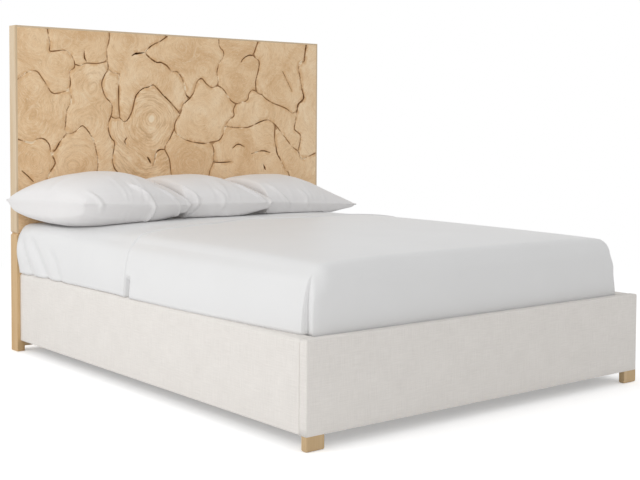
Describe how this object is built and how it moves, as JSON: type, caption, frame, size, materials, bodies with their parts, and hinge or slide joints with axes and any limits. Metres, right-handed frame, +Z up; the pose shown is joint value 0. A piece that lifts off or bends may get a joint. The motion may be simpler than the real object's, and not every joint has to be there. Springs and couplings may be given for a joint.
{
  "type": "panel bed",
  "caption": "Free-standing double bed with a tall headboard of jigsaw-fitted root-wood slabs, upholstered rails and footboard, slatted base, made-up mattress and pillows.",
  "frame": {"origin": "on the floor, at the middle of the bed's footprint", "axes": "+Z up, +Y from the footboard to the headboard, +X to the right as seen from the foot"},
  "size_m": [1.73, 2.154, 1.47],
  "materials": {
    "slab_wood": "sanded, clear matt oil",
    "edge_wood": "sanded, clear matt oil",
    "leg_wood": "clear satin",
    "panel_wood": "raw plywood",
    "slat_pine": "raw planed pine",
    "linen_cover": "woven linen look",
    "padding": "foam",
    "steel": "zinc plated",
    "glide_plastic": "matt",
    "mattress_ticking": "knitted ticking",
    "sheet_cotton": "percale",
    "pillow_cotton": "percale"
  },
  "bodies": {
    "frame": {"bracket_bolts": "steel", "center_beam": "slat_pine", "center_leg": "slat_pine", "corner_brackets": "steel", "footboard_board": "panel_wood", "footboard_cover": "linen_cover", "footboard_padding": "padding", "headboard_back_panel": "panel_wood", "headboard_core": "panel_wood", "headboard_lower_rail": "panel_wood", "headboard_top_edge": "edge_wood", "left_foot_block": "leg_wood", "left_headboard_edge": "edge_wood", "left_headboard_leg": "leg_wood", "left_ledger": "slat_pine", "left_rail_board": "panel_wood", "left_rail_cover": "linen_cover", "left_rail_padding": "padding", "right_foot_block": "leg_wood", "right_headboard_edge": "edge_wood", "right_headboard_leg": "leg_wood", "right_ledger": "slat_pine", "right_rail_board": "panel_wood", "right_rail_cover": "linen_cover", "right_rail_padding": "padding", "slab_arch": "slab_wood", "slab_big_round": "slab_wood", "slab_left_block": "slab_wood", "slab_left_oval": "slab_wood", "slab_left_root": "slab_wood", "slab_lower_left": "slab_wood", "slab_lower_middle": "slab_wood", "slab_lower_right": "slab_wood", "slab_lower_right_middle": "slab_wood", "slab_middle_round": "slab_wood", "slab_narrow_strip": "slab_wood", "slab_right_column": "slab_wood", "slab_right_wave": "slab_wood", "slab_tongue": "slab_wood", "slab_top_left": "slab_wood", "slab_top_middle": "slab_wood", "slab_top_right": "slab_wood", "slab_upper_left": "slab_wood", "slat_1": "slat_pine", "slat_2": "slat_pine", "slat_3": "slat_pine", "slat_4": "slat_pine", "slat_5": "slat_pine", "slat_6": "slat_pine", "slat_7": "slat_pine", "slat_8": "slat_pine", "slat_9": "slat_pine", "slat_screws": "steel"},
    "leveling_foot": {"leveling_foot": "glide_plastic"},
    "bedding": {"mattress": "mattress_ticking", "fitted_sheet": "sheet_cotton", "top_sheet": "sheet_cotton"},
    "left_pillow": {"left_pillow": "pillow_cotton"},
    "middle_pillow": {"middle_pillow": "pillow_cotton"},
    "right_pillow": {"right_pillow": "pillow_cotton"}
  },
  "joints": [
    {"name": "leveling_screw", "type": "slide", "parent": "frame", "child": "leveling_foot", "axis": [0, 0, 1], "range_m": [0, 0.012]},
    {"name": "mattress_lift", "type": "slide", "parent": "frame", "child": "bedding", "axis": [0, 0, 1], "range_m": [0, 0.4]},
    {"name": "left_pillow_lift", "type": "slide", "parent": "bedding", "child": "left_pillow", "axis": [0, 0, 1], "range_m": [0, 0.3]},
    {"name": "middle_pillow_lift", "type": "slide", "parent": "bedding", "child": "middle_pillow", "axis": [0, 0, 1], "range_m": [0, 0.3]},
    {"name": "right_pillow_lift", "type": "slide", "parent": "bedding", "child": "right_pillow", "axis": [0, 0, 1], "range_m": [0, 0.3]}
  ]
}
